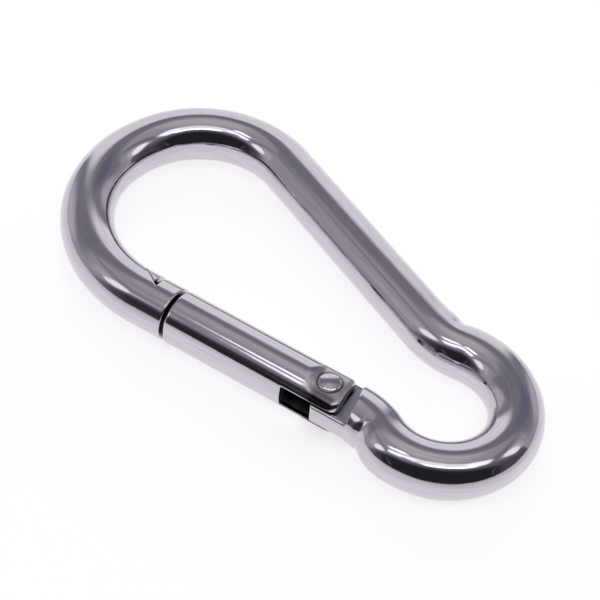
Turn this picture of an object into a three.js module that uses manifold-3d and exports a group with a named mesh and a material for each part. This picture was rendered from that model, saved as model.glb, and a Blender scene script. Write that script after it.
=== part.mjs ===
// Spring snap hook (carbine hook): a round bar bent into a bow, a spine and an eye, closed by a sprung gate.
// Units are millimetres and degrees, and +Z is up. The hook lies flat, with its gate along +X.
// It is drawn from the point where the bow meets the gate line, and then moved so that the origin
// is the centre of the base of its bounding box.

import * as THREE from 'three';
import { mergeVertices } from 'three/addons/utils/BufferGeometryUtils.js';
import Module from 'manifold-3d';

const wasm = await Module();
wasm.setup();

// Driving dimensions -----------------------------------------------------------------------------

const BAR_DIAMETER = 7.5;

// Bends of the bar's centre line, in order from the hinge. A positive turn is to the left.
const EYE_BENDS = [
  { turn: -30, radius: 9.6 },
  { turn: 127, radius: 9.3 },
  { turn: 90, radius: 10.9 },
  { turn: -31, radius: 12.3 },
];
const BOW_BENDS = [
  { turn: 86, radius: 14.1 },
  { turn: 49, radius: 17.4 },
  { turn: 69, radius: 18.5 },
];

// Places along the gate line, measured from the point where the bow meets it.
const NOSE_END_X = 5.4;
const GATE_START_X = 6;
const RIVET_X = 29.75;
const GATE_END_X = 32.8;
const SHOULDER_X = 34.5;

// Nose of the body: a ramped notch across the bar, and a slotted collar in front of it.
const COLLAR_BACK_X = 2.3;
const NOTCH_START_X = -1.6;
const LATCH_SLOT_WIDTH = 3;
const LATCH_SLOT_FLOOR_Y = -1.2;

// Latch of the gate: a flat neck through the collar's slot, and a wedge-shaped head in the notch.
const LATCH_GAP = 0.3;
const LATCH_HEAD_GAP = 0.75;
const LATCH_NECK_TOP_Y = 2.7;

// Tongue of the body inside the gate's fork. Its end is slanted, with a round cam corner.
const TONGUE_THICKNESS = 2.9;
const TONGUE_END_SLANT = 27;
const SHOULDER_SLANT = 8;
const CAM_RADIUS = 1.5;
const CAM_BEHIND_RIVET = 1.6;
const CAM_Y = 1.7;

// Gate.
const GATE_NOSE_ROUND = 0.75;
const FORK_SLOT_X = 24.4;
const FORK_SLOT_WIDTH = 3.4;
const CHEEK_FLAT_X = 26.2;
const CHEEK_FLAT_RAMP = 2.4;
const CHEEK_FLAT_Z = 2.9;
const CHEEK_OUTER_CORNER = 1.6;
const CHEEK_INNER_CORNER = 1;
const BORE_RADIUS = 1.7;
const BORE_Y = 0.6;
const BORE_END_X = 8.6;
const BORE_CONE = 0.9;

// Rivet, and the holes that it passes through.
const RIVET_RADIUS = 1.15;
const RIVET_HOLE_RADIUS = 1.35;
const RIVET_HEAD_RADIUS = 1.6;
const RIVET_RIM_RADIUS = 1.4;
const RIVET_HEAD_Z = 3.05;
const RIVET_RIM_Z = 3.4;
const RIVET_TOP_Z = 3.6;

// Plunger and spring in the gate's bore.
const PLUNGER_GAP = 0.3;
const PLUNGER_HEAD_RADIUS = 1.4;
const PLUNGER_HEAD_LENGTH = 3.4;
const PLUNGER_SHANK_RADIUS = 0.65;
const PLUNGER_SHANK_LENGTH = 6;
const PLUNGER_CHAMFER = 0.3;
const WIRE_DIAMETER = 0.5;
const SPRING_RADIUS = 1.4;
const SPRING_TURNS = 9;
const SPRING_END_GAP = 0.2;

// Fineness of the faceted solids.
const ROUND_SIDES = 24;
const WIRE_SIDES = 6;
const DEGREES_PER_STEP = 9;
const STEPS_PER_TURN = 12;
const FILLET_STEPS = 3;

// Worked out from them.
const radians = THREE.MathUtils.degToRad;
const BAR_RADIUS = BAR_DIAMETER / 2;
const PAST = 1; // how far a cutter runs past what it cuts
const OUTSIDE = BAR_RADIUS + PAST;
const FLAT_TO_CORNER = 1 / Math.cos(Math.PI / ROUND_SIDES);

// Solids: closed geometries made ready to be joined and cut ---------------------------------------

function solidOf(geometry) {
  geometry.deleteAttribute('normal');
  geometry.deleteAttribute('uv');
  const merged = mergeVertices(geometry, 1e-5);
  const triangles = [];
  for (let i = 0; i < merged.index.count; i += 3) {
    const [a, b, c] = merged.index.array.slice(i, i + 3);
    if (a !== b && b !== c && c !== a) {
      triangles.push(a, b, c);
    }
  }
  const vertProperties = Float32Array.from(merged.attributes.position.array);
  const triVerts = Uint32Array.from(triangles);
  return new wasm.Manifold(new wasm.Mesh({ numProp: 3, vertProperties, triVerts }));
}

function geometryOf(solid) {
  const { vertProperties, triVerts } = solid.getMesh();
  const geometry = new THREE.BufferGeometry();
  geometry.setAttribute('position', new THREE.BufferAttribute(Float32Array.from(vertProperties), 3));
  geometry.setIndex(Array.from(triVerts));
  geometry.computeVertexNormals();
  return geometry;
}

function polygon(points) {
  return new THREE.Shape(points.map(([x, y]) => new THREE.Vector2(x, y)));
}

// A prism that rises from an outline in plan.
function prism(plan, lowZ, highZ) {
  const geometry = new THREE.ExtrudeGeometry(plan, { depth: highZ - lowZ, bevelEnabled: false });
  return solidOf(geometry.translate(0, 0, lowZ));
}

// A prism that runs across the bar from an outline seen from the side.
function crossPrism(sideView) {
  const geometry = new THREE.ExtrudeGeometry(sideView, { depth: 2 * OUTSIDE, bevelEnabled: false });
  return solidOf(geometry.rotateX(Math.PI / 2).translate(0, OUTSIDE, 0));
}

function box(low, high) {
  const corners = new THREE.Box3(new THREE.Vector3(...low), new THREE.Vector3(...high));
  const size = corners.getSize(new THREE.Vector3());
  const centre = corners.getCenter(new THREE.Vector3());
  return solidOf(new THREE.BoxGeometry(...size).translate(...centre));
}

// A turned shape from a profile of [place on the axis, radius], which starts and ends on the axis.
// Its flat sides touch the true circle, and two of them face up and down when it lies along X.
function turned(profile) {
  const points = profile.map(([along, radius]) => new THREE.Vector2(radius * FLAT_TO_CORNER, along));
  return new THREE.LatheGeometry(points, ROUND_SIDES, Math.PI / ROUND_SIDES);
}

function turnedAlongX(profile) {
  return turned(profile).rotateZ(-Math.PI / 2);
}

function turnedAlongZ(profile) {
  return turned(profile).rotateX(Math.PI / 2);
}

// The profile of a plain rod between two places on its axis.
function rod(from, to, radius) {
  return [[from, 0], [from, radius], [to, radius], [to, 0]];
}

function rivetHole() {
  return solidOf(turnedAlongZ(rod(-OUTSIDE, OUTSIDE, RIVET_HOLE_RADIUS)).translate(RIVET_X, 0, 0));
}

// Centre line of the bar --------------------------------------------------------------------------

// How far a bend carries the bar, when it enters the bend in the given heading.
function bendTravel({ turn, radius }, heading) {
  const enter = radians(heading);
  const leave = radians(heading + turn);
  const travel = new THREE.Vector2(Math.sin(leave) - Math.sin(enter), Math.cos(enter) - Math.cos(leave));
  return travel.multiplyScalar(Math.sign(turn) * radius);
}

// The loop closes on itself, and this gives the lengths of its two straights: spine and gate line.
function straightLengths() {
  const travel = new THREE.Vector2();
  let heading = 0;
  for (const bend of [...EYE_BENDS, ...BOW_BENDS]) {
    travel.add(bendTravel(bend, heading));
    heading += bend.turn;
  }
  const spineHeading = radians(EYE_BENDS.reduce((sum, bend) => sum + bend.turn, 0));
  const spine = -travel.y / Math.sin(spineHeading);
  return { spine, gateLine: -travel.x - spine * Math.cos(spineHeading) };
}

// The centre line as stations, each a point and the direction in which the bar runs there.
class CentreLine extends THREE.Curve {
  constructor(startX) {
    super();
    this.place = new THREE.Vector3(startX, 0, 0);
    this.heading = 0;
    this.stations = [];
    this.markStation();
  }

  direction() {
    return new THREE.Vector3(Math.cos(radians(this.heading)), Math.sin(radians(this.heading)), 0);
  }

  markStation() {
    this.stations.push({ point: this.place.clone(), direction: this.direction() });
  }

  goStraight(length) {
    this.place.addScaledVector(this.direction(), length);
    this.markStation();
  }

  goRound({ turn, radius }) {
    const steps = Math.ceil(Math.abs(turn) / DEGREES_PER_STEP);
    for (let i = 0; i < steps; i += 1) {
      const step = { turn: turn / steps, radius };
      const { x, y } = bendTravel(step, this.heading);
      this.place.add(new THREE.Vector3(x, y, 0));
      this.heading += step.turn;
      this.markStation();
    }
  }

  stationAt(u) {
    return this.stations[Math.round(u * (this.stations.length - 1))];
  }

  getPointAt(u, target = new THREE.Vector3()) {
    return target.copy(this.stationAt(u).point);
  }

  getTangentAt(u, target = new THREE.Vector3()) {
    return target.copy(this.stationAt(u).direction);
  }
}

// Section of the bar: its flat sides touch the true circle, and one of them faces down.
function barSection() {
  const corners = [];
  for (let i = 0; i < ROUND_SIDES; i += 1) {
    const angle = ((i + 0.5) * 2 * Math.PI) / ROUND_SIDES;
    const radius = BAR_RADIUS * FLAT_TO_CORNER;
    corners.push([radius * Math.cos(angle), radius * Math.sin(angle)]);
  }
  return polygon(corners);
}

// The bar, from the end of the hinge tongue round the eye, the spine and the bow to the nose.
function bentBar(startX) {
  const { spine, gateLine } = straightLengths();
  const centreLine = new CentreLine(startX);
  centreLine.goStraight(gateLine - startX);
  EYE_BENDS.forEach((bend) => centreLine.goRound(bend));
  centreLine.goStraight(spine);
  BOW_BENDS.forEach((bend) => centreLine.goRound(bend));
  centreLine.goStraight(NOSE_END_X);
  const steps = centreLine.stations.length - 1;
  return solidOf(new THREE.ExtrudeGeometry(barSection(), { steps, extrudePath: centreLine }));
}

// Nose latch --------------------------------------------------------------------------------------

// The ramp's slope in plan, and the x at which a line parallel to it crosses a given y.
const RAMP_SLOPE = BAR_RADIUS / (COLLAR_BACK_X - NOTCH_START_X);
const rampX = (y, gap) => COLLAR_BACK_X - y / RAMP_SLOPE + gap * Math.hypot(1, 1 / RAMP_SLOPE);
const rampY = (x, gap) => (rampX(0, gap) - x) * RAMP_SLOPE;

function notch() {
  const plan = polygon([[rampX(OUTSIDE, 0), OUTSIDE], [COLLAR_BACK_X, 0], [COLLAR_BACK_X, OUTSIDE]]);
  return prism(plan, -OUTSIDE, OUTSIDE);
}

function latchSlot() {
  const halfWidth = LATCH_SLOT_WIDTH / 2;
  return box([COLLAR_BACK_X - PAST, LATCH_SLOT_FLOOR_Y, -halfWidth], [NOSE_END_X + PAST, OUTSIDE, halfWidth]);
}

const HEAD_SHOULDER_X = COLLAR_BACK_X - LATCH_HEAD_GAP;

function latchHead() {
  const floorY = rampY(HEAD_SHOULDER_X, LATCH_GAP);
  const tip = [rampX(OUTSIDE, LATCH_GAP), OUTSIDE];
  const plan = polygon([tip, [HEAD_SHOULDER_X, floorY], [HEAD_SHOULDER_X, OUTSIDE]]);
  const bar = solidOf(turnedAlongX(rod(NOTCH_START_X - PAST, NOSE_END_X, BAR_RADIUS)));
  return bar.intersect(prism(plan, -OUTSIDE, OUTSIDE));
}

function latchNeck() {
  const floorY = LATCH_SLOT_FLOOR_Y + LATCH_GAP;
  const halfWidth = LATCH_SLOT_WIDTH / 2 - LATCH_GAP;
  const rootX = GATE_START_X + GATE_NOSE_ROUND;
  const plan = polygon([
    [rampX(LATCH_NECK_TOP_Y, LATCH_GAP), LATCH_NECK_TOP_Y],
    [HEAD_SHOULDER_X, rampY(HEAD_SHOULDER_X, LATCH_GAP)],
    [HEAD_SHOULDER_X, floorY],
    [rootX, floorY],
    [rootX, LATCH_NECK_TOP_Y],
  ]);
  return prism(plan, -halfWidth, halfWidth);
}

// Hinge -------------------------------------------------------------------------------------------

const CAM_X = RIVET_X - CAM_BEHIND_RIVET;
const CAM_FACE_X = CAM_X - CAM_RADIUS;

// Plan of the tongue: slanted end from the outer side, cam corner, and inner edge to the shoulder.
function tonguePlan() {
  const slant = radians(TONGUE_END_SLANT);
  const camStart = [CAM_X - CAM_RADIUS * Math.cos(slant), CAM_Y - CAM_RADIUS * Math.sin(slant)];
  const farX = SHOULDER_X + BAR_DIAMETER;
  const plan = new THREE.Shape();
  plan.moveTo(camStart[0] + (camStart[1] + OUTSIDE) * Math.tan(slant), -OUTSIDE);
  plan.lineTo(...camStart);
  plan.absarc(CAM_X, CAM_Y, CAM_RADIUS, Math.PI + slant, Math.PI / 2, true);
  plan.lineTo(farX, CAM_Y + CAM_RADIUS);
  plan.lineTo(farX, -OUTSIDE);
  return plan;
}

// What is milled off the bar's end to leave the tongue in front of the slanted shoulder.
function besideTongue(startX) {
  const lean = OUTSIDE * Math.tan(radians(SHOULDER_SLANT));
  const plan = polygon([
    [startX, -OUTSIDE],
    [SHOULDER_X + lean, -OUTSIDE],
    [SHOULDER_X - lean, OUTSIDE],
    [startX, OUTSIDE],
  ]);
  const tongue = prism(tonguePlan(), -TONGUE_THICKNESS / 2, TONGUE_THICKNESS / 2);
  return prism(plan, -OUTSIDE, OUTSIDE).subtract(tongue);
}

// The gate's bar, with a rounded edge at its nose end.
function gateBar() {
  const profile = [[GATE_START_X, 0]];
  for (let i = 0; i <= FILLET_STEPS; i += 1) {
    const angle = ((i / FILLET_STEPS) * Math.PI) / 2;
    const along = GATE_START_X + GATE_NOSE_ROUND * (1 - Math.cos(angle));
    profile.push([along, BAR_RADIUS - GATE_NOSE_ROUND * (1 - Math.sin(angle))]);
  }
  profile.push([GATE_END_X, BAR_RADIUS], [GATE_END_X, 0]);
  return solidOf(turnedAlongX(profile));
}

// Room for the plunger and its spring: a drilled hole with a cone at its blind end.
function gateBore() {
  const mouthX = FORK_SLOT_X + PAST;
  const profile = [[BORE_END_X - BORE_CONE, 0], [BORE_END_X, BORE_RADIUS], [mouthX, BORE_RADIUS], [mouthX, 0]];
  return solidOf(turnedAlongX(profile).translate(0, BORE_Y, 0));
}

function forkSlot() {
  const halfWidth = FORK_SLOT_WIDTH / 2;
  return box([FORK_SLOT_X, -OUTSIDE, -halfWidth], [GATE_END_X + PAST, OUTSIDE, halfWidth]);
}

// What is milled off a cheek to make its flat, above the bar (side 1) or below it (side -1).
function besideCheekFlat(side) {
  const farX = GATE_END_X + PAST;
  const sideView = polygon([
    [CHEEK_FLAT_X - CHEEK_FLAT_RAMP, side * BAR_RADIUS],
    [CHEEK_FLAT_X, side * CHEEK_FLAT_Z],
    [farX, side * CHEEK_FLAT_Z],
    [farX, side * OUTSIDE],
    [CHEEK_FLAT_X - CHEEK_FLAT_RAMP, side * OUTSIDE],
  ]);
  return crossPrism(sideView);
}

// What is left of the gate in plan, once the corners of its cheeks are rounded.
function cheekPlan() {
  const startX = NOTCH_START_X - PAST;
  const outerX = GATE_END_X - CHEEK_OUTER_CORNER;
  const innerX = GATE_END_X - CHEEK_INNER_CORNER;
  const plan = new THREE.Shape();
  plan.moveTo(startX, -OUTSIDE);
  plan.lineTo(outerX, -OUTSIDE);
  plan.absarc(outerX, CHEEK_OUTER_CORNER - BAR_RADIUS, CHEEK_OUTER_CORNER, -Math.PI / 2, 0, false);
  plan.absarc(innerX, BAR_RADIUS - CHEEK_INNER_CORNER, CHEEK_INNER_CORNER, 0, Math.PI / 2, false);
  plan.lineTo(innerX, OUTSIDE);
  plan.lineTo(startX, OUTSIDE);
  return plan;
}

// Pieces ------------------------------------------------------------------------------------------

function hookBody() {
  const startX = CAM_FACE_X - PAST;
  return bentBar(startX)
    .subtract(besideTongue(startX - PAST))
    .subtract(rivetHole())
    .subtract(notch())
    .subtract(latchSlot());
}

function gate() {
  return gateBar()
    .add(latchNeck())
    .add(latchHead())
    .intersect(prism(cheekPlan(), -OUTSIDE, OUTSIDE))
    .subtract(besideCheekFlat(1))
    .subtract(besideCheekFlat(-1))
    .subtract(forkSlot())
    .subtract(gateBore())
    .subtract(rivetHole());
}

// A shank with a low domed head at each end, centred on the rivet's own middle.
function hingeRivet() {
  const upperHalf = [
    [RIVET_HEAD_Z, RIVET_RADIUS],
    [RIVET_HEAD_Z, RIVET_HEAD_RADIUS],
    [RIVET_RIM_Z, RIVET_RIM_RADIUS],
    [RIVET_TOP_Z, 0],
  ];
  const lowerHalf = upperHalf.map(([along, radius]) => [-along, radius]).reverse();
  return turnedAlongZ([...lowerHalf, ...upperHalf]);
}

// A headed push pin. The head's face is at x = 0, and the shank runs back along -X.
function plunger() {
  const headBackX = -PLUNGER_HEAD_LENGTH;
  const tailX = headBackX - PLUNGER_SHANK_LENGTH;
  return turnedAlongX([
    [tailX, 0],
    [tailX, PLUNGER_SHANK_RADIUS],
    [headBackX, PLUNGER_SHANK_RADIUS],
    [headBackX, PLUNGER_HEAD_RADIUS],
    [-PLUNGER_CHAMFER, PLUNGER_HEAD_RADIUS],
    [0, PLUNGER_HEAD_RADIUS - PLUNGER_CHAMFER],
    [0, 0],
  ]);
}

class Helix extends THREE.Curve {
  constructor(radius, length, turns) {
    super();
    Object.assign(this, { radius, length, turns });
  }

  getPoint(t, target = new THREE.Vector3()) {
    const angle = 2 * Math.PI * this.turns * t;
    return target.set(t * this.length, this.radius * Math.cos(angle), this.radius * Math.sin(angle));
  }
}

// A coil spring whose first turn starts at x = 0.
function spring(length) {
  const wireRadius = WIRE_DIAMETER / 2;
  const corners = [];
  for (let i = 0; i < WIRE_SIDES; i += 1) {
    const angle = (i * 2 * Math.PI) / WIRE_SIDES;
    corners.push([wireRadius * Math.cos(angle), wireRadius * Math.sin(angle)]);
  }
  const helix = new Helix(SPRING_RADIUS - wireRadius, length - WIRE_DIAMETER, SPRING_TURNS);
  const steps = SPRING_TURNS * STEPS_PER_TURN;
  const geometry = new THREE.ExtrudeGeometry(polygon(corners), { steps, extrudePath: helix });
  return geometry.translate(wireRadius, 0, 0);
}

// Scene -------------------------------------------------------------------------------------------

const polishedSteel = new THREE.MeshStandardMaterial({ color: 0xc9c8cf, roughness: 0.12, metalness: 1 });
const rivetSteel = new THREE.MeshStandardMaterial({ color: 0xbdbcc2, roughness: 0.2, metalness: 1 });
const turnedSteel = new THREE.MeshStandardMaterial({ color: 0xa9a9ae, roughness: 0.3, metalness: 1 });
const springSteel = new THREE.MeshStandardMaterial({ color: 0x9c9ca2, roughness: 0.35, metalness: 1 });

function piece(name, geometry, material, x = 0, y = 0) {
  const mesh = new THREE.Mesh(geometry, material);
  mesh.name = name;
  mesh.position.set(x, y, 0);
  return mesh;
}

const hook = new THREE.Group();
hook.add(piece('hook_body', geometryOf(hookBody()), polishedSteel));

const swingingGate = new THREE.Group();
const plungerX = CAM_FACE_X - PLUNGER_GAP;
const springStartX = BORE_END_X + SPRING_END_GAP;
const springEndX = plungerX - PLUNGER_HEAD_LENGTH - SPRING_END_GAP;
swingingGate.add(
  piece('gate', geometryOf(gate()), polishedSteel),
  piece('hinge_rivet', hingeRivet(), rivetSteel, RIVET_X),
  piece('plunger', plunger(), turnedSteel, plungerX, BORE_Y),
  piece('spring', spring(springEndX - springStartX), springSteel, springStartX, BORE_Y),
);
hook.add(swingingGate);

// Move the hook so that the origin is the centre of the base of its bounding box.
const bounds = new THREE.Box3().setFromObject(hook);
const centre = bounds.getCenter(new THREE.Vector3());
hook.position.set(-centre.x, -centre.y, -bounds.min.z);

const part = new THREE.Group();
part.add(hook);

export default part;
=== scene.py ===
"""Spring snap hook: its fine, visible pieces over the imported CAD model, with steel, floor, light and camera.

The hook is drawn in millimetres in its own drawing frame: x along the gate from the point where the bow
meets the gate line, y from the gate towards the spine, z up from the bar's middle plane. Each piece but the
spring is a field, a function that is negative inside the metal and grows by about 1 for each millimetre
outwards. Its surface is where the field is 0, so what joins two fields also rounds their edge or corner.
"""

import math

import bpy
import numpy as np
from mathutils import Matrix, Vector


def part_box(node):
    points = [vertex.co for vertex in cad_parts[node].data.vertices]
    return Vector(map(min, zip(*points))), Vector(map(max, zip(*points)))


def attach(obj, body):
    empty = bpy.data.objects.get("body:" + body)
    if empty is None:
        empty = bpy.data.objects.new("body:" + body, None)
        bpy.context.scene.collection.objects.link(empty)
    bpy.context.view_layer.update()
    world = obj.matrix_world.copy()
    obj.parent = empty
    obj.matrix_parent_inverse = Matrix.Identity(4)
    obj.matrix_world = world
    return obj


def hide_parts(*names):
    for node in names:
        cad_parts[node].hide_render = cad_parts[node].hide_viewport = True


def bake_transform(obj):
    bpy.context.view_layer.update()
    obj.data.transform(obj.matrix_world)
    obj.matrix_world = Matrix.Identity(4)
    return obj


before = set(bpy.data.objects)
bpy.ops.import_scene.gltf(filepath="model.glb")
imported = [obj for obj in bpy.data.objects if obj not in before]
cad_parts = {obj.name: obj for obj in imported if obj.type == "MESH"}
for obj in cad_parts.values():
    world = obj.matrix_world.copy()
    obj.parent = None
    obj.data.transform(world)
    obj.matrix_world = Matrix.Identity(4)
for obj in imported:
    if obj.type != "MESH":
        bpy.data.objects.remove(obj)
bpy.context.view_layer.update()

MM = 0.001

# Bar: its radius, and the bends of its centre line from the hinge round to the nose. A positive turn is to
# the left.
BAR_RADIUS = 3.75
EYE_BENDS = [(-30, 9.6), (127, 9.3), (90, 10.9), (-31, 12.3)]
BOW_BENDS = [(86, 14.1), (49, 17.4), (69, 18.5)]

# Marks of the die on the outer side of the two bends into the eye: a dent, and a bulge after it. The first
# place is measured from the end of the gate line, and the second from the start of the spine.
FIRST_DENT = 4.6
SECOND_DENT = -4.6
DENT_DEPTH = 0.38
DENT_WIDTH = 1.0
BULGE_HEIGHT = 0.15
BULGE_WIDTH = 1.8
BULGE_AFTER = 3.0

# Places along the gate line: ends of the nose and of the gate, the rivet, and the shoulder behind the gate.
NOSE_END_X = 5.4
GATE_START_X = 5.9
RIVET_X = 29.75
GATE_END_X = 32.4
SHOULDER_X = 34.05

# Nose of the body: a ramped notch across the bar, and a slotted collar in front of it.
COLLAR_BACK_X = 2.3
NOTCH_START_X = -2.9
LATCH_SLOT_WIDTH = 3.0
LATCH_SLOT_FLOOR_Y = -1.2
NOSE_ROUND = 0.22

# Latch of the gate: a flat neck through the collar's slot, and a wedge-shaped head that closes on the ramp.
LATCH_RAMP_GAP = 0.06
LATCH_SIDE_GAP = 0.3
LATCH_HEAD_GAP = 0.75
LATCH_NECK_TOP_Y = 2.7

# Tongue of the body inside the gate's fork.
TONGUE_THICKNESS = 2.9
TONGUE_END_SLANT = math.radians(27)
SHOULDER_SLANT = math.radians(14)
SHOULDER_FILLET = 0.3
CAM_RADIUS = 1.5
CAM_X = RIVET_X - 1.6
CAM_Y = 1.7
TONGUE_HOLE_RADIUS = 1.35

# Gate: its rounded ends, the fork's slot, the flats of the cheeks round the rivet, and the spring's bore.
# The flats rise to the round bar over a run, and are slightly crowned.
GATE_NOSE_ROUND = 0.32
GATE_END_SLANT = math.radians(7)
FORK_SLOT_X = 24.4
FORK_SLOT_WIDTH = 3.4
CHEEK_FLAT_X = 28.3
CHEEK_FLAT_RUN = 2.2
CHEEK_FLAT_Z = 3.33
CHEEK_CROWN_RADIUS = 26
CHEEK_FLAT_SOFT = 0.6
CHEEK_END_ROUND = 0.6
CHEEK_OUTER_CORNER = 2.1
CHEEK_INNER_CORNER = 1.0
CHEEK_HOLE_RADIUS = 1.25
BORE_RADIUS = 1.55
BORE_Y = 0.6
BORE_END_X = 8.6

# Rivet: its shank, and a head that has a short side, a bevel, a low dome and a faint ring on the dome.
RIVET_RADIUS = 1.15
RIVET_HEAD_RADIUS = 1.58
RIVET_HEAD_Z = 2.85
RIVET_TOP_Z = 3.75
RIVET_DOME_RADIUS = 5.4
RIVET_BEVEL = math.radians(33)
RIVET_BEVEL_RADIUS = 1.18
RIVET_RING_RADIUS = 0.8
RIVET_RING_DEPTH = 0.01
RIVET_RING_WIDTH = 0.12

# Plunger and spring in the gate's bore.
PLUNGER_FACE_X = CAM_X - CAM_RADIUS - 0.3
PLUNGER_HEAD_RADIUS = 1.4
PLUNGER_HEAD_LENGTH = 3.4
PLUNGER_HEAD_ROUND = 0.3
PLUNGER_SHANK_RADIUS = 0.65
PLUNGER_SHANK_LENGTH = 6.0
PLUNGER_SHANK_ROUND = 0.2
WIRE_RADIUS = 0.25
SPRING_RADIUS = 1.4
SPRING_TURNS = 9
SPRING_END_TURNS = 1.25

# Sizes of the roundings left by machining and polishing, and how far a shape runs on past a face that it
# opens through or ends in.
SOFT_EDGE = 0.25
FINE_EDGE = 0.12
OVERLAP = 1.0

# Where a cut into the bar is deep enough to be milled, and where the outer faces of the cheeks begin.
MILLED_DEPTH = 0.45
CHEEK_FACE_Z = 2.3

# Painted shade: a thin dark ring round the rivet's head for its shadow, a dark strip along the lower side
# of the cheeks, and the depths that it starts at in the fork's slot and on the latch and the nose.
SHADE_RING_RADIUS = RIVET_HEAD_RADIUS + 0.1
SHADE_RING_WIDTH = 0.12
SHADE_STRIP_Y = -1.3
SHADE_STRIP_Z = 1.2
SHADE_SLOT_DEPTH = 0.5
SHADE_NOSE_DEPTH = 0.25

# Steps of the grids that the surfaces are found on: along and across the bar, away from details, and on the
# rivet and the plunger.
ALONG_STEP = 0.13
ACROSS_STEP = 0.14
BODY_COARSE_STEP = 0.55
GATE_COARSE_STEP = 0.9
RIVET_STEP = 0.06
PLUNGER_STEP = 0.1

# Where the drawing frame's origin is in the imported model's frame, from the rivet's CAD node.
rivet_low, rivet_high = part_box("hinge_rivet")
DRAWING_ORIGIN = (rivet_low + rivet_high) / 2 - Vector((RIVET_X * MM, 0, 0))


# Fields ---------------------------------------------------------------------------------------------------


def meet(a, b, edge):
    """What two fields share, with the edge between them rounded."""
    return np.minimum(np.maximum(a, b), -edge) + np.hypot(np.maximum(a + edge, 0), np.maximum(b + edge, 0))


def join(a, b, fillet):
    """Two fields together, with a fillet in the corner between them."""
    return -meet(-a, -b, fillet)


def cut(a, b, edge):
    """The first field less the second, with a rounded edge."""
    return meet(a, -b, edge)


def melt(a, b, width):
    """What two fields share, blended over a width where they meet at a small angle."""
    return np.maximum(a, b) + np.maximum(width - np.abs(a - b), 0) ** 2 / (4 * width)


def hump(distance, width):
    """1 at no distance, falling smoothly to 0 on both sides."""
    return np.exp(-((distance / width) ** 2))


def ease(t):
    """0 before 0, 1 after 1, and a smooth rise in between."""
    t = np.clip(t, 0, 1)
    return t * t * (3 - 2 * t)


def fade(value, start, width):
    """0 up to the start, 1 from a width after it. With a negative width, it fades in the other way."""
    return ease((value - start) / width)


def above_ramp(x, y):
    """How far a point is above the nose's ramp, which falls from the bar's top to its middle."""
    slope = BAR_RADIUS / (COLLAR_BACK_X - NOTCH_START_X)
    return (y - (COLLAR_BACK_X - x) * slope) / math.hypot(1, slope)


def tongue_plan(x, y):
    """The tongue seen from above: a wedge between its inner edge and its slanted end, round at the cam."""
    dx, dy = x - CAM_X, y - CAM_Y
    sine, cosine = math.sin(TONGUE_END_SLANT), math.cos(TONGUE_END_SLANT)
    before_tip = (dx < 0) & (dx * sine - dy * cosine < 0)
    return np.where(before_tip, np.hypot(dx, dy), np.maximum(dy, -dx * cosine - dy * sine)) - CAM_RADIUS


def die_marks(s):
    """How far the bar's outer side stands out along it, from the dies that bent the eye."""
    height = 0
    for place in (RUNS[0][0] + FIRST_DENT, SPINE_START + SECOND_DENT):
        dent, bulge = hump(s - place, DENT_WIDTH), hump(s - place - BULGE_AFTER, BULGE_WIDTH)
        height = height + BULGE_HEIGHT * bulge - DENT_DEPTH * dent
    return height


def straighten_nose(s, y):
    """Drawing-frame x and y near the nose, where the bar's last bend runs into the gate line."""
    radius = BOW_BENDS[-1][1]
    turned = np.clip((s - LOOP_LENGTH) / radius, -1, 0)
    x = (radius - y) * np.sin(turned) + np.maximum(s - LOOP_LENGTH, 0)
    return x, radius - (radius - y) * np.cos(turned)


def body_field(s, y, z):
    """The bent bar, in coordinates that follow it: s runs along the centre line from the drawing's origin.

    On the gate line, where the tongue and the shoulder are, s is the drawing frame's x.
    """
    x = s
    nose_x, nose_y = straighten_nose(s, y)
    bar = np.hypot(y, z) - BAR_RADIUS - die_marks(s) * ease(-y / BAR_RADIUS)
    before_shoulder = (SHOULDER_X - y * math.tan(SHOULDER_SLANT) - x) * math.cos(SHOULDER_SLANT)
    tongue = meet(tongue_plan(x, y), np.abs(z) - TONGUE_THICKNESS / 2, FINE_EDGE)
    solid = meet(bar, join(before_shoulder, tongue, SHOULDER_FILLET), SOFT_EDGE)
    solid = cut(solid, np.hypot(x - RIVET_X, y) - TONGUE_HOLE_RADIUS, FINE_EDGE)
    solid = meet(solid, nose_x - NOSE_END_X, NOSE_ROUND)
    notch = meet(nose_x - COLLAR_BACK_X, -above_ramp(nose_x, nose_y), FINE_EDGE)
    solid = cut(solid, notch, FINE_EDGE)
    slot = meet(np.abs(z) - LATCH_SLOT_WIDTH / 2, LATCH_SLOT_FLOOR_Y - y, FINE_EDGE)
    slot = np.maximum(slot, COLLAR_BACK_X - OVERLAP - nose_x)
    return cut(solid, slot, FINE_EDGE)


def latch_field(x, y, z):
    """The gate's latch: neck and wedge-shaped head."""
    shoulder_x = COLLAR_BACK_X - LATCH_HEAD_GAP
    clear_of_ramp = LATCH_RAMP_GAP - above_ramp(x, y)
    head = meet(np.hypot(y, z) - BAR_RADIUS, meet(x - shoulder_x, clear_of_ramp, FINE_EDGE), FINE_EDGE)
    across = np.abs(z) - (LATCH_SLOT_WIDTH / 2 - LATCH_SIDE_GAP)
    up = np.maximum(y - LATCH_NECK_TOP_Y, LATCH_SLOT_FLOOR_Y + LATCH_SIDE_GAP - y)
    along = np.maximum(np.minimum(shoulder_x - x, clear_of_ramp), x - GATE_START_X - GATE_NOSE_ROUND)
    neck = np.maximum(meet(across, up, FINE_EDGE), along)
    return join(head, neck, FINE_EDGE)


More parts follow.
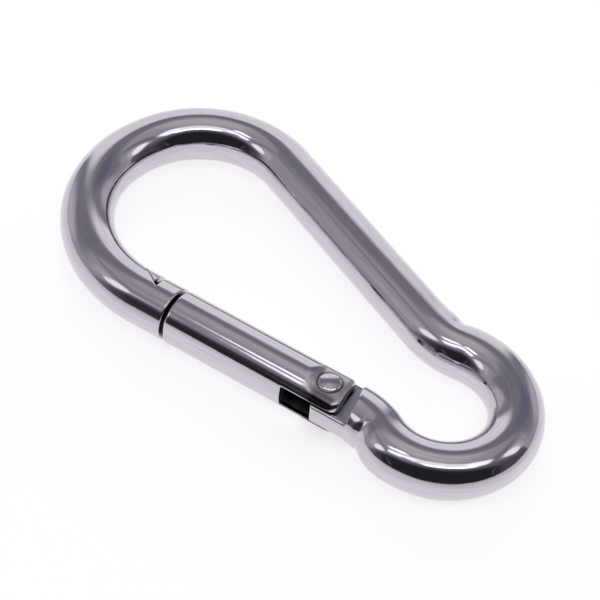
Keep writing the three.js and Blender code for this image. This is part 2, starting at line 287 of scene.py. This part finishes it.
def gate_field(x, y, z):
    """The gate: round bar with a latch, a bore, a forked end with flats round the rivet, and rivet holes."""
    bar = np.hypot(y, z) - BAR_RADIUS
    rise = ease((CHEEK_FLAT_X - x) / CHEEK_FLAT_RUN)
    crown = (y**2 + np.maximum(x - CHEEK_FLAT_X, 0) ** 2 / 2) / (2 * CHEEK_CROWN_RADIUS)
    flats = np.abs(z) - CHEEK_FLAT_Z + crown - (BAR_RADIUS + CHEEK_FLAT_SOFT - CHEEK_FLAT_Z) * rise
    solid = melt(bar, flats, CHEEK_FLAT_SOFT)
    solid = meet(solid, GATE_START_X - x, GATE_NOSE_ROUND)
    beyond = (x - GATE_END_X + y * math.tan(GATE_END_SLANT)) * math.cos(GATE_END_SLANT)
    outer_corner = meet(beyond, -y - BAR_RADIUS, CHEEK_OUTER_CORNER)
    inner_corner = meet(beyond, y - BAR_RADIUS, CHEEK_INNER_CORNER)
    solid = meet(solid, np.maximum(outer_corner, inner_corner), CHEEK_END_ROUND)
    solid = join(solid, latch_field(x, y, z), FINE_EDGE)
    slot = meet(np.abs(z) - FORK_SLOT_WIDTH / 2, FORK_SLOT_X - x, FINE_EDGE)
    solid = cut(solid, slot, SOFT_EDGE)
    bore_ends = np.maximum(BORE_END_X - x, x - FORK_SLOT_X - OVERLAP)
    bore = np.maximum(np.hypot(y - BORE_Y, z) - BORE_RADIUS, bore_ends)
    solid = cut(solid, bore, FINE_EDGE)
    return cut(solid, np.hypot(x - RIVET_X, y) - CHEEK_HOLE_RADIUS, FINE_EDGE)


def rivet_field(x, y, z):
    """Shank with a peened head at each end: a low dome with a bevel round it and a short side."""
    radius = np.hypot(x - RIVET_X, y)
    height = np.abs(z)
    dome = np.hypot(radius, height - RIVET_TOP_Z + RIVET_DOME_RADIUS) - RIVET_DOME_RADIUS
    dome = dome + RIVET_RING_DEPTH * hump(radius - RIVET_RING_RADIUS, RIVET_RING_WIDTH)
    bevel_z = RIVET_TOP_Z - RIVET_BEVEL_RADIUS**2 / (2 * RIVET_DOME_RADIUS)
    bevel = (radius - RIVET_BEVEL_RADIUS) * math.sin(RIVET_BEVEL)
    bevel = bevel + (height - bevel_z) * math.cos(RIVET_BEVEL)
    side = radius - RIVET_HEAD_RADIUS
    top = meet(side, meet(bevel, dome, FINE_EDGE), FINE_EDGE)
    head = meet(top, RIVET_HEAD_Z - height, FINE_EDGE / 2)
    # The shank runs a little way into the head.
    shank = np.maximum(radius - RIVET_RADIUS, height - RIVET_HEAD_Z - 0.1)
    return join(head, shank, FINE_EDGE / 2)


def plunger_field(x, y, z):
    """Push pin: a head that the tongue's cam corner bears on, and a shank that guides the spring."""
    radius = np.hypot(y - BORE_Y, z)
    back_x = PLUNGER_FACE_X - PLUNGER_HEAD_LENGTH
    head_ends = np.maximum(x - PLUNGER_FACE_X, back_x - x)
    shank_ends = np.maximum(back_x - PLUNGER_SHANK_LENGTH - x, x - back_x - OVERLAP)
    head = meet(radius - PLUNGER_HEAD_RADIUS, head_ends, PLUNGER_HEAD_ROUND)
    shank = meet(radius - PLUNGER_SHANK_RADIUS, shank_ends, PLUNGER_SHANK_ROUND)
    return join(head, shank, FINE_EDGE)


# Centre line of the bar -----------------------------------------------------------------------------------


def straight_lengths():
    """Lengths of the gate line and the spine, which close the loop of bends."""
    x, y, heading, spine_heading = 0.0, 0.0, 0.0, 0.0
    for i, (turn, radius) in enumerate(EYE_BENDS + BOW_BENDS):
        enter, leave = math.radians(heading), math.radians(heading + turn)
        side = math.copysign(radius, turn)
        x += side * (math.sin(leave) - math.sin(enter))
        y += side * (math.cos(enter) - math.cos(leave))
        heading += turn
        if i == len(EYE_BENDS) - 1:
            spine_heading = leave
    spine = -y / math.sin(spine_heading)
    return -x - spine * math.cos(spine_heading), spine


def centre_line_runs():
    """The centre line as runs: (length, curvature), from the drawing's origin round to the nose."""
    gate_line, spine = straight_lengths()
    eye, bow = (
        [(math.radians(abs(turn)) * radius, math.copysign(1 / radius, turn)) for turn, radius in bends]
        for bends in (EYE_BENDS, BOW_BENDS)
    )
    return [(gate_line, 0.0), *eye, (spine, 0.0), *bow, (NOSE_END_X + OVERLAP, 0.0)]


# Distances along the centre line: to the start of the spine, and once round the loop to the gate line.
RUNS = centre_line_runs()
SPINE_START = sum(length for length, _ in RUNS[: 1 + len(EYE_BENDS)])
LOOP_LENGTH = sum(length for length, _ in RUNS[:-1])


def bar_frame(s):
    """Point, heading and curvature of the centre line at each distance s along it."""
    x, y, heading, start = 0.0, 0.0, 0.0, 0.0
    points, headings, curvatures = np.zeros((len(s), 2)), np.zeros(len(s)), np.zeros(len(s))
    for i, (length, curvature) in enumerate(RUNS):
        here = (s >= start) if i else np.ones(len(s), bool)
        d = s[here] - start
        turned = heading + curvature * d
        if curvature:
            points[here, 0] = x + (np.sin(turned) - math.sin(heading)) / curvature
            points[here, 1] = y + (math.cos(heading) - np.cos(turned)) / curvature
        else:
            points[here, 0] = x + d * math.cos(heading)
            points[here, 1] = y + d * math.sin(heading)
        headings[here], curvatures[here] = turned, curvature
        end = heading + curvature * length
        if curvature:
            x += (math.sin(end) - math.sin(heading)) / curvature
            y += (math.cos(heading) - math.cos(end)) / curvature
        else:
            x += length * math.cos(heading)
            y += length * math.sin(heading)
        heading, start = end, start + length
    return points, headings, curvatures


def bend_bar(points, normals):
    """Carries points and normals from the bar's own coordinates to the drawing frame."""
    centres, headings, curvatures = bar_frame(points[:, 0])
    cosine, sine = np.cos(headings), np.sin(headings)
    y, z = points[:, 1], points[:, 2]
    placed = np.stack([centres[:, 0] - y * sine, centres[:, 1] + y * cosine, z], 1)
    along = normals[:, 0] / (1 - curvatures * y)
    across = normals[:, 1]
    turned = np.stack([along * cosine - across * sine, along * sine + across * cosine, normals[:, 2]], 1)
    return placed, turned


# Meshes ---------------------------------------------------------------------------------------------------


def stations(start, end, fine, coarse, details):
    """Grid places from start to end: fine in each detail's stretch, and growing to coarse away from it."""
    places = [start]
    while places[-1] < end:
        gap = min(max(low - places[-1], places[-1] - high, 0) for low, high in details)
        places.append(places[-1] + min(coarse, fine + gap / 6))
    return np.array(places)


def span(centre, half, step):
    """Even grid places that reach a little past half on both sides of the centre."""
    count = 2 * math.ceil(half / step) + 3
    return centre + (np.arange(count) - (count - 1) / 2) * step


def surface_net(field, axes):
    """Vertices and four-sided faces of the surface where the field is 0, on a grid over three axes.

    Each grid edge that crosses the surface gives a face, and each cell that the surface passes through
    gives a vertex, at the mean of the crossings on the cell's edges.
    """
    values = field(*np.meshgrid(*axes, indexing="ij"))
    cells = tuple(n - 1 for n in values.shape)
    total, count = np.zeros((*cells, 3)), np.zeros(cells)
    faces = []
    for axis in range(3):
        nexts = [(axis + 1) % 3, (axis + 2) % 3]
        near = np.moveaxis(values, axis, 0)[:-1]
        far = np.moveaxis(values, axis, 0)[1:]
        index = np.stack(np.nonzero((near < 0) != (far < 0)), 1)
        before, after = near[tuple(index.T)], far[tuple(index.T)]
        order = [axis, *[k for k in range(3) if k != axis]]
        index = index[:, np.argsort(order)]
        point = np.stack([axes[k][index[:, k]] for k in range(3)], 1)
        share = before / (before - after)
        point[:, axis] += share * (axes[axis][index[:, axis] + 1] - axes[axis][index[:, axis]])
        corners = []
        for first, second in ((1, 1), (0, 1), (0, 0), (1, 0)):
            cell = index.copy()
            cell[:, nexts[0]] -= first
            cell[:, nexts[1]] -= second
            corners.append(np.ravel_multi_index(cell.T, cells))
            np.add.at(total.reshape(-1, 3), corners[-1], point)
            np.add.at(count.reshape(-1), corners[-1], 1)
        quads = np.stack(corners, 1)
        faces.append(np.where((before < 0)[:, None], quads, quads[:, ::-1]))
    used = count.reshape(-1) > 0
    number = np.cumsum(used) - 1
    vertices = total.reshape(-1, 3)[used] / count.reshape(-1)[used][:, None]
    return vertices, number[np.concatenate(faces)]


def slopes(field, points, step=1e-3):
    """How fast the field grows along each axis at each point."""
    columns = []
    for k in range(3):
        offset = np.zeros(3)
        offset[k] = step
        columns.append((field(*(points + offset).T) - field(*(points - offset).T)) / (2 * step))
    return np.stack(columns, 1)


def settle(field, points, rounds=4, reach=0.08, least=0.05):
    """Moves points onto the surface, each step no longer than reach.

    A squared slope smaller than least counts as least, so that a step never divides by nearly nothing.
    """
    for _ in range(rounds):
        slope = slopes(field, points)
        move = -slope * (field(*points.T) / np.maximum((slope**2).sum(1), least))[:, None]
        length = np.linalg.norm(move, axis=1)
        points = points + move * np.minimum(1, reach / np.maximum(length, 1e-9))[:, None]
    return points


def mesh_object(name, vertices, faces, along, finish_and_shade=None, normals=None):
    """A smooth Blender mesh object from drawing-frame millimetres, with its attributes and normals."""
    mesh = bpy.data.meshes.new(name)
    mesh.from_pydata((vertices * MM + np.array(DRAWING_ORIGIN)).tolist(), [], faces)
    mesh.shade_smooth()
    for attribute, values in (("along_bar", along), ("finish_and_shade", finish_and_shade)):
        if values is not None:
            layer = mesh.attributes.new(attribute, "FLOAT_VECTOR", "POINT")
            layer.data.foreach_set("vector", np.ascontiguousarray(values, np.float32).ravel())
    if normals is not None:
        mesh.normals_split_custom_set_from_vertices(normals.tolist())
    piece = bpy.data.objects.new(name, mesh)
    bpy.context.scene.collection.objects.link(piece)
    return piece


def finish_and_shade_of(points):
    """How far each point is milled, brushed and painted with shade, from 0 to 1 each.

    The cuts into the bar are milled. The flats round the rivet are brushed. Painted shade darkens the fork's
    slot, the latch and the nose's slot by depth, rings the rivet's head as its shadow, and darkens the lower
    side of the cheeks. The depth is how far a point is under the round bar's surface.
    """
    x, y, z = points[:, 0], points[:, 1], np.abs(points[:, 2])
    depth = BAR_RADIUS - np.hypot(y, z)
    on_cheek = (x < GATE_END_X) * fade(z, CHEEK_FACE_Z, 0.6)
    milled = fade(depth, MILLED_DEPTH, 0.4) * (1 - on_cheek)
    brushed = on_cheek * fade(x, CHEEK_FLAT_X - 1.8, 1.5) * fade(np.abs(y), 2.8, -0.8)
    fork_slot = (z < FORK_SLOT_WIDTH / 2 + 0.1) & (x > FORK_SLOT_X - 0.5) & (x < GATE_END_X)
    latch = (x > COLLAR_BACK_X - LATCH_HEAD_GAP - 0.05) & (x < GATE_START_X + 0.02)
    nose = x > LOOP_LENGTH + 1
    # Painted shade: a dark ring for the rivet head's shadow, a dark strip under the cheeks, dark recesses.
    ring = on_cheek * hump(np.hypot(x - RIVET_X, y) - SHADE_RING_RADIUS, SHADE_RING_WIDTH)
    strip = fade(z, SHADE_STRIP_Z, 0.8) * fade(y, SHADE_STRIP_Y, -1.0)
    strip = strip * fade(x, CHEEK_FLAT_X - 1.2, 2) * fade(x, GATE_END_X - 0.3, -0.7)
    painted_shade = np.maximum(0.95 * ring, 0.85 * strip)
    painted_shade = np.maximum(painted_shade, fade(depth, SHADE_SLOT_DEPTH, 1.2) * fork_slot)
    painted_shade = np.maximum(painted_shade, 0.7 * fade(depth, SHADE_NOSE_DEPTH, 0.5) * (latch | nose))
    return np.stack([milled, brushed, painted_shade], 1)


def field_object(name, field, axes, place=None, finish_and_shade=None):
    """The object whose surface is where the field is 0. place carries its points to the drawing frame."""
    points, faces = surface_net(field, axes)
    points = settle(field, points)
    normals = slopes(field, points)
    along = points
    if place:
        points, normals = place(points, normals)
    normals /= np.linalg.norm(normals, axis=1)[:, None]
    return mesh_object(name, points, faces.tolist(), along, finish_and_shade and finish_and_shade(along), normals)


# The middles of the grids are a little off the pieces' middles, so that no grid place falls on a flat face.


def body_piece():
    """The bent bar, with the fine step at its hinge end and its nose."""
    hinge_end, nose = (26.4, 36.2), (LOOP_LENGTH - 4, LOOP_LENGTH + 6)
    start, end = CAM_X - CAM_RADIUS - 0.31, LOOP_LENGTH + NOSE_END_X + 0.4
    along = stations(start, end, ALONG_STEP, BODY_COARSE_STEP, [hinge_end, nose])
    across = span(0.01, BAR_RADIUS, ACROSS_STEP)
    return field_object("snap_hook_body", body_field, [along, across, across], bend_bar, finish_and_shade_of)


def gate_piece():
    """The gate, with the fine step at its latch and its hinge end."""
    latch, hinge_end = (NOTCH_START_X - 1, 7.6), (22.2, 33.4)
    start, end = NOTCH_START_X - 0.6, GATE_END_X + 0.4
    along = stations(start, end, ALONG_STEP, GATE_COARSE_STEP, [latch, hinge_end])
    across = span(0.01, BAR_RADIUS, ACROSS_STEP)
    return field_object("snap_hook_gate", gate_field, [along, across, across], None, finish_and_shade_of)


def rivet_piece():
    """The rivet, with both heads."""
    across = span(0.003, RIVET_HEAD_RADIUS, RIVET_STEP)
    upward = span(0.003, RIVET_TOP_Z, RIVET_STEP)
    return field_object("snap_hook_rivet", rivet_field, [across + RIVET_X, across, upward])


def plunger_piece():
    """The push pin at rest in the gate's bore."""
    length = PLUNGER_HEAD_LENGTH + PLUNGER_SHANK_LENGTH
    along = span(PLUNGER_FACE_X - length / 2, length / 2, 1.2 * PLUNGER_STEP)
    across = span(0.003, PLUNGER_HEAD_RADIUS, PLUNGER_STEP)
    return field_object("snap_hook_plunger", plunger_field, [along, across + BORE_Y, across])


def spring_piece():
    """A wire coil with closed turns at both ends, as a tube swept along its helix."""
    start, end = (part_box("spring")[i].x / MM - DRAWING_ORIGIN.x / MM for i in (0, 1))
    steps, sides = 56, 16
    turns = np.linspace(0, SPRING_TURNS, SPRING_TURNS * steps + 1)
    closed = SPRING_END_TURNS * 2 * WIRE_RADIUS * 1.04
    free = end - start - 2 * WIRE_RADIUS - 2 * closed
    knots = [0, SPRING_END_TURNS, SPRING_TURNS - SPRING_END_TURNS, SPRING_TURNS]
    x = np.interp(turns, knots, [0, closed, closed + free, 2 * closed + free])
    # The pitch changes over half a turn, by a running mean.
    window = steps // 2 + 1
    padded = np.pad(x, window // 2, mode="reflect", reflect_type="odd")
    x = np.convolve(padded, np.full(window, 1 / window), "valid")
    angle = 2 * math.pi * turns
    radius = SPRING_RADIUS - WIRE_RADIUS
    line = np.stack([start + WIRE_RADIUS + x, BORE_Y + radius * np.cos(angle), radius * np.sin(angle)], 1)
    tangent = np.gradient(line, axis=0)
    tangent /= np.linalg.norm(tangent, axis=1)[:, None]
    outward = np.stack([np.zeros_like(angle), np.cos(angle), np.sin(angle)], 1)
    binormal = np.cross(tangent, outward)
    # The rings shrink at both ends, so that the wire ends in small domes.
    share = np.ones(len(line))
    share[[0, -1]], share[[1, -2]] = 0.55, 0.88
    rows = []
    for k in range(sides):
        turn = 2 * math.pi * k / sides
        direction = outward * math.cos(turn) + binormal * math.sin(turn)
        rows.append(line + direction * (WIRE_RADIUS * share)[:, None])
    vertices = np.stack(rows, 1).reshape(-1, 3)
    ring = np.arange(len(line) - 1)[:, None] * sides
    side = np.arange(sides)[None, :]
    after = (side + 1) % sides
    quads = np.stack([ring + after, ring + sides + after, ring + sides + side, ring + side], 2)
    faces = quads.reshape(-1, 4).tolist()
    faces.append(list(range(sides)))
    faces.append(list(range(len(vertices) - 1, len(vertices) - 1 - sides, -1)))
    along = np.zeros((len(vertices), 3))
    along[:, 0] = angle.repeat(sides) * radius
    return mesh_object("snap_hook_spring", vertices, faces, along)


# Materials ------------------------------------------------------------------------------------------------


# Colours of the specks on brushed faces, of milled faces and of painted shade.
SPECK_COLOUR = (0.33, 0.28, 0.27, 1)
MILLED_COLOUR = (0.42, 0.41, 0.46, 1)
PAINTED_SHADE_COLOUR = (0.035, 0.028, 0.028, 1)


class Tree:
    """A shader node tree that is built by calls, such as tree.add("Math", a, b, operation="ADD")."""

    def __init__(self, tree):
        self.tree = tree
        tree.nodes.clear()

    def add(self, kind, *inputs, **settings):
        """Adds a node, sets its inputs in order from sockets or numbers, skipping None, and returns it."""
        node = self.tree.nodes.new("ShaderNode" + kind)
        for key, value in settings.items():
            setattr(node, key, value)
        for socket, value in zip([s for s in node.inputs if s.enabled], inputs):
            self.put(socket, value)
        return node

    def put(self, socket, value):
        """Links a socket to a node or to another socket, or sets its value. None leaves it alone."""
        if isinstance(value, bpy.types.Node):
            value = value.outputs[0]
        if isinstance(value, bpy.types.NodeSocket):
            self.tree.links.new(value, socket)
        elif value is not None:
            socket.default_value = value

    def math(self, operation, *inputs):
        """Adds a Math node."""
        return self.add("Math", *inputs, operation=operation)

    def between(self, value, low, high, start=0.0, end=1.0):
        """Carries a value from low..high to start..end by a smooth step."""
        return self.add("MapRange", value, low, high, start, end, interpolation_type="SMOOTHSTEP")


def noise(tree, coordinates, scale, detail=2.0, roughness=0.5):
    """The value of a noise texture, around 0.5."""
    node = tree.add("TexNoise", noise_dimensions="3D")
    tree.put(node.inputs["Vector"], coordinates)
    node.inputs["Scale"].default_value = scale
    node.inputs["Detail"].default_value = detail
    node.inputs["Roughness"].default_value = roughness
    return node.outputs["Fac"]


def steel(name, colour, roughness, scratch=1.0):
    """Stainless steel with smudges, long faint scratches, milled and brushed faces, and painted shade."""
    material = bpy.data.materials.new(name)
    material.use_nodes = True
    tree = Tree(material.node_tree)
    out = tree.add("OutputMaterial")
    shader = tree.add("BsdfPrincipled")
    tree.put(out.inputs["Surface"], shader)
    shader.inputs["Metallic"].default_value = 1.0
    vector = tree.add("Attribute", attribute_name="along_bar").outputs["Vector"]
    finish_and_shade = tree.add("Attribute", attribute_name="finish_and_shade").outputs["Vector"]
    milled, brushed, painted_shade = tree.add("SeparateXYZ", finish_and_shade).outputs
    # Streaks, fine scratches and a slight waviness run along the bar. The grain and the smudges do not.
    streaks = noise(tree, tree.add("VectorMath", vector, (0.07, 1.6, 1.6), operation="MULTIPLY"), 2.2, 3.0)
    hair = noise(tree, tree.add("VectorMath", vector, (0.10, 1.0, 1.0), operation="MULTIPLY"), 14.0, 2.0)
    grain = noise(tree, vector, 9.0, 4.0, 0.65)
    smudge = noise(tree, vector, 0.35, 2.0)
    wave = noise(tree, tree.add("VectorMath", vector, (0.35, 1.0, 1.0), operation="MULTIPLY"), 0.55, 1.0)
    rough = tree.between(smudge, 0.35, 0.7, roughness * 0.8, roughness * 1.35)
    rough = tree.math("ADD", rough, tree.math("MULTIPLY", milled, 0.3))
    brushing = tree.between(grain, 0.3, 0.7, 0.16, 0.34)
    rough = tree.math("ADD", rough, tree.math("MULTIPLY", brushed, brushing))
    tree.put(shader.inputs["Roughness"], rough)
    shade = tree.between(streaks, 0.38, 0.66)
    tint = tree.add("MixRGB", shade, (*colour, 1), (*[c * 0.9 for c in colour], 1))
    specks = tree.math("MULTIPLY", brushed, tree.between(grain, 0.46, 0.66))
    tint = tree.add("MixRGB", specks, tint, SPECK_COLOUR)
    tint = tree.add("MixRGB", milled, tint, MILLED_COLOUR)
    # Painted shade: the mask mixes near-black into the colour in recesses, round the rivet and under the
    # cheeks.
    tint = tree.add("MixRGB", painted_shade, tint, PAINTED_SHADE_COLOUR)
    tree.put(shader.inputs["Base Color"], tint)
    height = tree.math("MULTIPLY", hair, 0.16 * scratch)
    height = tree.math("ADD", height, tree.math("MULTIPLY", streaks, 0.16 * scratch))
    height = tree.math("ADD", height, tree.math("MULTIPLY", wave, 1.2 * scratch))
    flats = tree.math("ADD", milled, brushed)
    height = tree.math("ADD", height, tree.math("MULTIPLY", tree.math("MULTIPLY", grain, flats), 0.5))
    bump = tree.add("Bump")
    bump.inputs["Strength"].default_value = 1.0
    bump.inputs["Distance"].default_value = 0.008 * MM
    tree.put(bump.inputs["Height"], height)
    tree.put(shader.inputs["Normal"], bump)
    return material


# Stage ----------------------------------------------------------------------------------------------------


FLOOR_HALF_SIZE = 1.2
FLOOR_GLOW = 0.66


def add_floor():
    """A glossy white sheet, lit from below so that it stays plain white round the hook."""
    signs = ((-1, -1), (1, -1), (1, 1), (-1, 1))
    corners = [(x * FLOOR_HALF_SIZE, y * FLOOR_HALF_SIZE, 0) for x, y in signs]
    mesh = bpy.data.meshes.new("floor")
    mesh.from_pydata(corners, [], [(0, 1, 2, 3)])
    floor = bpy.data.objects.new("floor", mesh)
    bpy.context.scene.collection.objects.link(floor)
    material = bpy.data.materials.new("white_acrylic")
    material.use_nodes = True
    tree = Tree(material.node_tree)
    out = tree.add("OutputMaterial")
    shader = tree.add("BsdfPrincipled")
    shader.inputs["Base Color"].default_value = (0.8, 0.8, 0.8, 1)
    shader.inputs["Roughness"].default_value = 1.0
    shader.inputs["Specular IOR Level"].default_value = 0.0
    shader.inputs["Coat Weight"].default_value = 1.0
    shader.inputs["Coat Roughness"].default_value = 0.3
    shader.inputs["Emission Color"].default_value = (1, 1, 1, 1)
    shader.inputs["Emission Strength"].default_value = FLOOR_GLOW
    tree.put(out.inputs["Surface"], shader)
    mesh.materials.append(material)


# The light tent round the hook, in its own two angles: rise goes from 0 at the horizon in front, over 90
# at the top, to 180 at the horizon behind, and side goes from -90 to 90 across. Each patch of it is an
# oval, or a rounded box where its power is high. A patch is its middle (rise, side), its half sizes, power,
# softness and light, and later patches cover earlier ones.
TENT_FRONT_AZIMUTH = math.radians(-55)
TENT_WALL = (0.405, 0.395, 0.43)
TENT_PATCHES = [
    # Seams and panels behind and overhead.
    ((130, 2), (15, 62), 5, 0.30, (0.24, 0.235, 0.265)),
    ((130, 27), (8, 14), 2, 0.60, (0.17, 0.17, 0.235)),
    ((100, 0), (17, 16), 2, 0.50, (0.60, 0.57, 0.575)),
    ((93, -60), (9, 13), 2, 0.60, (0.54, 0.52, 0.54)),
    ((93, 56), (9, 14), 2, 0.60, (0.60, 0.58, 0.60)),
    ((172, -50), (28, 15), 3, 0.40, (0.58, 0.56, 0.59)),
    ((168, 49), (24, 13), 3, 0.40, (0.54, 0.525, 0.555)),
    ((172, 2), (36, 35), 4, 0.15, (0.26, 0.255, 0.30)),
    ((185, 2), (47, 27), 2.5, 0.10, (0.95, 0.94, 0.96)),
    ((88, -39), (28, 4), 4, 0.40, (0.30, 0.29, 0.33)),
    ((88, 37), (28, 5), 4, 0.40, (0.25, 0.24, 0.275)),
    # The dark room that the open front shows, and thin seams across it.
    ((46, 66), (24, 27), 5, 0.25, (0.13, 0.125, 0.14)),
    ((72, 80), (20, 16), 4, 0.25, (0.13, 0.125, 0.14)),
    ((5, 5), (54, 86), 8, 0.20, (0.085, 0.08, 0.10)),
    ((52, 12), (13, 36), 2, 0.70, (0.15, 0.145, 0.16)),
    ((-5, -2), (58, 57), 6, 0.12, (0.024, 0.021, 0.029)),
    ((26, -49), (14, 0.8), 6, 0.30, (0.13, 0.125, 0.145)),
    ((26, 47), (14, 0.8), 6, 0.30, (0.13, 0.125, 0.145)),
    # Lamps over the front edge.
    ((73, -53.5), (11, 10), 2.5, 0.25, (1.25, 1.22, 1.25)),
    ((83, 54), (10, 10.5), 2.5, 0.25, (1.35, 1.32, 1.35)),
    ((71.5, 3), (7.5, 27), 5, 0.15, (1.2, 1.17, 1.2)),
    ((72.5, 26), (8, 9), 3, 0.25, (1.6, 1.56, 1.6)),
    ((64, 6), (2.8, 19), 4, 0.20, (2.9, 2.85, 2.9)),
    ((68.5, -33), (3, 5), 6, 0.15, (1.3, 1.27, 1.3)),
    ((72, -26), (3, 10), 8, 0.08, (1.8, 1.76, 1.8)),
    ((83.5, -23.5), (3.2, 6.5), 6, 0.12, (1.9, 1.86, 1.9)),
]


def add_world():
    """The light tent as the world's light, by the direction that a reflected ray leaves in."""
    world = bpy.data.worlds.new("light_tent")
    bpy.context.scene.world = world
    world.use_nodes = True
    tree = Tree(world.node_tree)
    out = tree.add("OutputWorld")
    turned = tree.add("VectorRotate", rotation_type="Z_AXIS")
    tree.put(turned.inputs["Vector"], tree.add("TexCoord").outputs["Generated"])
    turned.inputs["Angle"].default_value = -TENT_FRONT_AZIMUTH
    front, across, up = tree.add("SeparateXYZ", turned).outputs
    rise = tree.math("MULTIPLY", tree.math("ARCTAN2", up, front), 180 / math.pi)
    side = tree.math("MULTIPLY", tree.math("ARCSINE", across), 180 / math.pi)
    light = tree.add("RGB").outputs[0]
    light.default_value = (*TENT_WALL, 1)
    for middle, half, power, soft, colour in TENT_PATCHES:
        reach = []
        for angle, centre, size in zip((rise, side), middle, half):
            from_middle = tree.math("DIVIDE", tree.math("SUBTRACT", angle, centre), size)
            reach.append(tree.math("POWER", tree.math("ABSOLUTE", from_middle), power))
        distance = tree.math("POWER", tree.math("ADD", *reach), 1 / power)
        light = tree.add("MixRGB", tree.between(distance, 1 - soft, 1 + soft, 1, 0), light, (*colour, 1))
    shine = tree.add("Background", light, 1.0)
    # Where the floor ends, the camera sees the same plain white.
    plain = tree.add("Background", (1, 1, 1, 1), 1.0)
    seen = tree.add("LightPath").outputs["Is Camera Ray"]
    tree.put(out.inputs["Surface"], tree.add("MixShader", seen, shine, plain))


def add_camera():
    """The camera, by azimuth, elevation and roll round a target on the bar's middle plane."""
    azimuth, elevation, roll = math.radians(29.43), math.radians(47.07), math.radians(5.5)
    distance, target = 273.9, Vector((17.28, 12.3, 0))
    level = Vector((math.sin(azimuth), -math.cos(azimuth), 0))
    back = level * math.cos(elevation) + Vector((0, 0, math.sin(elevation)))
    right = Vector((math.cos(azimuth), math.sin(azimuth), 0))
    up = back.cross(right)
    across = right * math.cos(roll) + up * math.sin(roll)
    upward = up * math.cos(roll) - right * math.sin(roll)
    data = bpy.data.cameras.new("camera")
    data.sensor_width = 36
    data.lens = 122.3
    camera = bpy.data.objects.new("camera", data)
    bpy.context.scene.collection.objects.link(camera)
    turn = Matrix((across, upward, back)).transposed().to_4x4()
    camera.matrix_world = Matrix.Translation(DRAWING_ORIGIN + (target + back * distance) * MM) @ turn
    bpy.context.scene.camera = camera


# Assembly -------------------------------------------------------------------------------------------------

polished = steel("polished_steel", (0.635, 0.605, 0.655), 0.07)
rivet_steel = steel("rivet_steel", (0.66, 0.64, 0.67), 0.05, 0.4)
turned_steel = steel("turned_steel", (0.5, 0.5, 0.52), 0.3)
spring_steel = steel("spring_steel", (0.45, 0.45, 0.47), 0.3)

for piece, material, body, node, slot in (
    (body_piece(), polished, "hook", "hook_body", "polished_steel"),
    (gate_piece(), polished, "gate", "gate", "gate_steel"),
    (rivet_piece(), rivet_steel, "gate", "hinge_rivet", "rivet_steel"),
    (plunger_piece(), turned_steel, "plunger", "plunger", "turned_steel"),
):
    piece.data.materials.append(material)
    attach(piece, body)
    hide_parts(node)

spring = spring_piece()
spring.data.materials.append(spring_steel)
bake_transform(spring)
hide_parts("spring")

add_floor()
add_world()
add_camera()
bpy.context.scene.view_settings.view_transform = "Standard"
